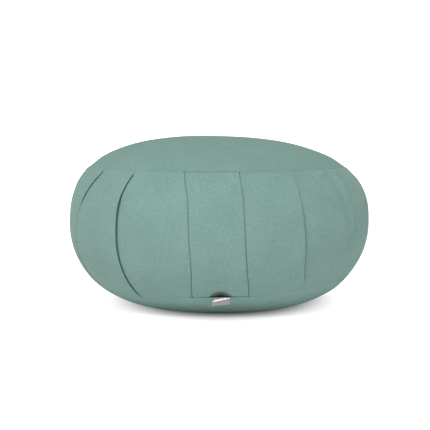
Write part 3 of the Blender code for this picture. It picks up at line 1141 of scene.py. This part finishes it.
def cloth_material(name, colour, yarns, tone_range, roughness, bump, specular, sheen, coat=0.0):
    """Woven cloth: colour, roughness and relief come from the weave and the mottle."""
    material = bpy.data.materials.new(name)
    material.use_nodes = True
    wiring = Wiring(material.node_tree)
    vector = wiring.node("ShaderNodeUVMap", uv_map="cloth").outputs["UV"]
    yarn_inputs = {"Vector": vector, "Yarns per metre": yarns}
    weave = placed_group(wiring, "plain weave", plain_weave, yarn_inputs)
    mottle = placed_group(wiring, "dye mottle", dye_mottle, {"Vector": vector})
    tone = wiring.maths("ADD", wiring.maths("MULTIPLY", weave["Tone"], 0.55), mottle["Tone"])
    ramp = wiring.node("ShaderNodeValToRGB", {"Fac": tone})
    ends = zip(ramp.color_ramp.elements, TONE_ENDS, tone_range)
    for element, position, brightness in ends:
        element.position = position
        element.color = (*[min(1.0, part * brightness) for part in colour], 1.0)
    least, most = roughness
    inputs = {"Value": tone, "From Min": 0.2, "From Max": 0.9, "To Min": most, "To Max": least}
    rough = wiring.node("ShaderNodeMapRange", inputs)
    inputs = {"Strength": bump, "Distance": YARN_HEIGHT, "Height": weave["Height"]}
    relief = wiring.node("ShaderNodeBump", inputs)
    sheen_weight, sheen_roughness, tint = sheen
    inputs = {
        "Base Color": ramp.outputs["Color"],
        "Roughness": rough.outputs["Result"],
        "Normal": relief.outputs["Normal"],
        "Metallic": 0.0,
        "Specular IOR Level": specular,
        "Sheen Weight": sheen_weight,
        "Sheen Roughness": sheen_roughness,
        "Sheen Tint": (*tint, 1.0),
        "Coat Weight": coat,
        "Coat Roughness": 0.12,
    }
    wiring.feed(material.node_tree.nodes["Principled BSDF"], inputs)
    return material


def canvas(name, colour, contrast=0.16):
    return cloth_material(
        name,
        colour,
        yarns=1550.0,
        tone_range=(1.0 - contrast, 1.0 + contrast),
        roughness=(0.84, 0.97),
        bump=0.45,
        specular=0.25,
        sheen=(0.14, 0.35, (0.88, 0.92, 0.90)),
    )


def satin(name, colour):
    return cloth_material(
        name,
        colour,
        yarns=5200.0,
        tone_range=(0.88, 1.12),
        roughness=(0.17, 0.26),
        bump=0.08,
        specular=1.0,
        sheen=(0.1, 0.3, (1.0, 0.95, 0.95)),
        coat=0.8,
    )


# ---- Settings, operators and panel ------------------------------------------------


def colour_setting(name, description, default):
    return FloatVectorProperty(
        name=name, description=description, default=default, subtype="COLOR", min=0.0, max=1.0
    )


def setting(name, description, default, least, most, **kind):
    return FloatProperty(
        name=name, description=description, default=default, min=least, max=most, **kind
    )


class CushionCloth(PropertyGroup):
    side_colour: colour_setting(
        "Side canvas", "Colour of the canvas round the side", (0.226, 0.382, 0.341)
    )
    # Painted shade: the crown's canvas gets a darker colour than the side's, standing in for how
    # the light falls on the crown.
    crown_colour_painted_darker: colour_setting(
        "Crown canvas", "Colour of the canvas over the crown", (0.213, 0.361, 0.317)
    )
    # Painted light: the base's canvas gets a lighter colour than the side's, to make up for the
    # shade under the cushion.
    base_colour_painted_lighter: colour_setting(
        "Base canvas", "Colour of the canvas under the base", (0.242, 0.403, 0.369)
    )
    tab_colour: colour_setting(
        "Tab", "Colour of the satin tab in the bottom seam", (0.32, 0.29, 0.29)
    )


class CushionForm(PropertyGroup):
    swell: setting(
        "Swell",
        "How far the filling pushes the cloth out between seams and folds",
        0.0022, 0.0, 0.01, unit="LENGTH",
    )
    unevenness: setting(
        "Unevenness",
        "Height of the slow dips and rises of the loose filling",
        0.00035, 0.0, 0.004, unit="LENGTH",
    )
    pucker: setting(
        "Puckers",
        "Height of the small gathers beside the seams",
        0.00022, 0.0, 0.002, unit="LENGTH",
    )
    seam_puff: setting(
        "Seam puff",
        "Height of the soft roll that the band makes just under the top seam",
        0.0011, 0.0, 0.003, unit="LENGTH",
    )
    fold_height: setting(
        "Fold height",
        "Scales the height of the pleats' lips",
        1.0, 0.2, 1.5, subtype="FACTOR",
    )


class CushionStudio(PropertyGroup):
    camera_distance: setting(
        "Camera distance",
        "Distance from the camera to the cushion's axis",
        5.0, 1.0, 20.0, unit="LENGTH",
    )
    camera_elevation: setting(
        "Camera elevation",
        "Angle by which the camera looks down",
        radians(3.6), 0.0, pi / 2.0, subtype="ANGLE",
    )
    surround: setting("Surround", "Brightness of the white surround", 0.565, 0.0, 5.0)
    floor_glow: setting(
        "Floor glow",
        "Light that the white floor gives off, as over a light table",
        0.19, 0.0, 2.0,
    )
    whiteness: setting(
        "Floor whiteness",
        "How much whiter than lit the floor round the cushion looks",
        0.885, 0.0, 2.0,
    )
    key: setting(
        "Key light",
        "Power of the large soft light above the front left",
        85.0, 0.0, 500.0, unit="POWER",
    )


def context_form():
    return bpy.context.scene.cushion_form


class CUSHION_OT_body(Operator):
    """Fill the body and lay its pleats"""

    bl_idname = "cushion.body"
    bl_label = "Filled pleated body"

    def execute(self, context):
        build_body(canvas("side canvas", context.scene.cushion_cloth.side_colour))
        return {"FINISHED"}


class CUSHION_OT_round_panels(Operator):
    """Sew on the round panels over the crown and under the base"""

    bl_idname = "cushion.round_panels"
    bl_label = "Crown and base panels"

    def execute(self, context):
        cloth = context.scene.cushion_cloth
        # Painted shade: a darker copy of the side's canvas for the crown.
        material = canvas("crown canvas painted darker", cloth.crown_colour_painted_darker, 0.13)
        build_disc("crown_cloth", "top_panel", TOP, material)
        # Painted light: a lighter copy of the side's canvas for the base.
        material = canvas("base canvas painted lighter", cloth.base_colour_painted_lighter)
        build_disc("base_cloth", "bottom_panel", FOOT, material)
        return {"FINISHED"}


class CUSHION_OT_front_panel(Operator):
    """Lay the straight panel over the closure at the front"""

    bl_idname = "cushion.front_panel"
    bl_label = "Front panel"

    def execute(self, context):
        build_front_panel(canvas("panel canvas", context.scene.cushion_cloth.side_colour))
        return {"FINISHED"}


class CUSHION_OT_tab(Operator):
    """Hang the blank satin tab from the bottom seam"""

    bl_idname = "cushion.tab"
    bl_label = "Seam tab"

    def execute(self, context):
        build_tab(satin("satin ribbon", context.scene.cushion_cloth.tab_colour))
        return {"FINISHED"}


class CUSHION_OT_studio(Operator):
    """Set up the floor, the soft lights and the camera"""

    bl_idname = "cushion.studio"
    bl_label = "White studio"

    def execute(self, context):
        settings = context.scene.cushion_studio
        add_floor(settings.floor_glow, settings.whiteness)
        add_surround(settings.surround)
        add_light("key", KEY_PLACE, KEY_SIZE, settings.key)
        add_camera(settings.camera_distance, settings.camera_elevation)
        context.scene.view_settings.view_transform = "Standard"
        return {"FINISHED"}


class CUSHION_PT_panel(Panel):
    """Lists the cushion's pieces and settings"""

    bl_idname = "CUSHION_PT_panel"
    bl_label = "Cushion"
    bl_space_type = "VIEW_3D"
    bl_region_type = "UI"
    bl_category = "Cushion"

    def draw(self, context):
        layout = self.layout
        for operator in OPERATORS:
            layout.operator(operator.bl_idname)
        for group, _ in SETTINGS:
            settings = getattr(context.scene, group)
            for name in settings.bl_rna.properties.keys():
                if name not in ("rna_type", "name"):
                    layout.prop(settings, name)


# ---- Studio -----------------------------------------------------------------------

KEY_PLACE = (-0.88, -2.8, 3.6)
KEY_SIZE = 1.4
PICTURE_WIDTH = 0.5186  # metres that the picture spans at the cushion's axis
CAMERA_AIM = (-0.0047, 0.0, 0.112)
SENSOR = 36.0

# The floor lights the cushion with a glow that grows from one ring to the next, in metres. The
# camera sees no glow but a floor that turns white past an egg round the cushion's front, past
# a line behind it, and in the distance. That whiteness is painted light: it paints the cushion's
# soft shadow on the floor, darker inside the egg and before the line.
FLOOR_SIZE = 70.0
FLOOR_HEIGHT = -0.0002
GLOW_RING = (0.03, 0.13)
FAR_RING = (0.9, 3.0)
WHITE_EGG = (0.249, 0.435)
EGG_CENTRE = (0.004, 0.2)
EGG_SQUEEZE = 2.88  # sideways
WHITE_BEHIND = (0.10, 0.21)
FLOOR_LIT = (0.93, 0.872, 0.878, 1.0)
# Painted shade: the camera sees the floor in this darker colour than it lights with, so the floor
# looks shaded wherever the painted whiteness is low.
FLOOR_SEEN = (0.37, 0.345, 0.35, 1.0)


def painted_floor_light(wiring, position, whiteness):
    """Painted light: how white the floor looks to the camera beyond what the lights make of it."""
    parts = wiring.node("ShaderNodeSeparateXYZ", {0: position}).outputs
    sideways, back = (wiring.maths("SUBTRACT", parts[axis], EGG_CENTRE[axis]) for axis in (0, 1))
    squeezed = wiring.maths("MULTIPLY", sideways, EGG_SQUEEZE)
    egg = wiring.node("ShaderNodeCombineXYZ", {0: squeezed, 1: back}).outputs[0]
    behind = wiring.climb(parts[1], WHITE_BEHIND, whiteness)
    near = wiring.maths("MAXIMUM", wiring.ring(egg, WHITE_EGG, whiteness), behind)
    return wiring.maths("ADD", near, wiring.ring(position, FAR_RING, 1.0))


def add_floor(glow, whiteness):
    mesh = bmesh.new()
    bmesh.ops.create_grid(mesh, x_segments=8, y_segments=8, size=FLOOR_SIZE)
    bmesh.ops.translate(mesh, verts=mesh.verts, vec=(0.0, 0.0, FLOOR_HEIGHT))
    data = mesh_data("studio_floor", mesh)
    material = bpy.data.materials.new("white floor")
    material.use_nodes = True
    wiring = Wiring(material.node_tree)
    position = wiring.node("ShaderNodeTexCoord").outputs["Object"]
    seen = wiring.node("ShaderNodeLightPath").outputs["Is Camera Ray"]
    colour = wiring.node("ShaderNodeMix", {"Factor": seen}, data_type="RGBA")
    lit, shown = (socket for socket in colour.inputs if socket.type == "RGBA")
    lit.default_value, shown.default_value = FLOOR_LIT, FLOOR_SEEN
    given_off = wiring.ring(position, GLOW_RING, glow)
    backdrop = painted_floor_light(wiring, position, whiteness)
    difference = wiring.maths("SUBTRACT", backdrop, given_off)
    inputs = {
        "Base Color": next(socket for socket in colour.outputs if socket.type == "RGBA"),
        "Roughness": 0.9,
        "Specular IOR Level": 0.1,
        "Emission Color": (1.0, 1.0, 1.0, 1.0),
        # Painted light for the camera rays, which shapes the floor's soft shadow; the glow for all
        # other rays.
        "Emission Strength": wiring.maths("MULTIPLY_ADD", difference, seen, given_off),
    }
    wiring.feed(material.node_tree.nodes["Principled BSDF"], inputs)
    data.materials.append(material)
    add_object("studio_floor", data)


def add_surround(strength):
    """A white surround that the camera sees as pure white however strongly it lights."""
    world = bpy.data.worlds.new("white surround")
    world.use_nodes = True
    wiring = Wiring(world.node_tree)
    seen = wiring.node("ShaderNodeLightPath").outputs["Is Camera Ray"]
    brightness = wiring.maths("MULTIPLY_ADD", seen, 1.0 - strength, strength)
    inputs = {"Color": (1.0, 1.0, 1.0, 1.0), "Strength": brightness}
    wiring.feed(world.node_tree.nodes["Background"], inputs)
    bpy.context.scene.world = world


def add_light(name, position, size, power):
    data = bpy.data.lights.new(name, "AREA")
    data.shape = "SQUARE"
    data.size = size
    data.energy = power
    light = add_object(name, data)
    light.location = position
    light.rotation_euler = (CENTRE - Vector(position)).to_track_quat("-Z", "Y").to_euler()


def add_camera(distance, elevation):
    data = bpy.data.cameras.new("camera")
    data.sensor_width = SENSOR
    data.lens = SENSOR * distance / PICTURE_WIDTH
    data.clip_start, data.clip_end = 0.1, 200.0
    camera = add_object("camera", data)
    back = Vector((0.0, -cos(elevation), sin(elevation)))
    camera.location = Vector(CAMERA_AIM) + back * distance
    camera.rotation_euler = (pi / 2.0 - elevation, 0.0, 0.0)
    bpy.context.scene.camera = camera


# ---- Registering and running ------------------------------------------------------

OPERATORS = (
    CUSHION_OT_body,
    CUSHION_OT_round_panels,
    CUSHION_OT_front_panel,
    CUSHION_OT_tab,
    CUSHION_OT_studio,
)
SETTINGS = (
    ("cushion_cloth", CushionCloth),
    ("cushion_form", CushionForm),
    ("cushion_studio", CushionStudio),
)
CLASSES = (*[kind for _, kind in SETTINGS], *OPERATORS, CUSHION_PT_panel)


def register():
    for kind in CLASSES:
        bpy.utils.register_class(kind)
    for name, kind in SETTINGS:
        setattr(bpy.types.Scene, name, PointerProperty(type=kind))


def unregister():
    for name, _ in SETTINGS:
        delattr(bpy.types.Scene, name)
    for kind in reversed(CLASSES):
        bpy.utils.unregister_class(kind)


def main():
    register()
    bpy.ops.cushion.body()
    bpy.ops.cushion.round_panels()
    bpy.ops.cushion.front_panel()
    bpy.ops.cushion.tab()
    bpy.ops.cushion.studio()


if __name__ == "__main__":
    main()
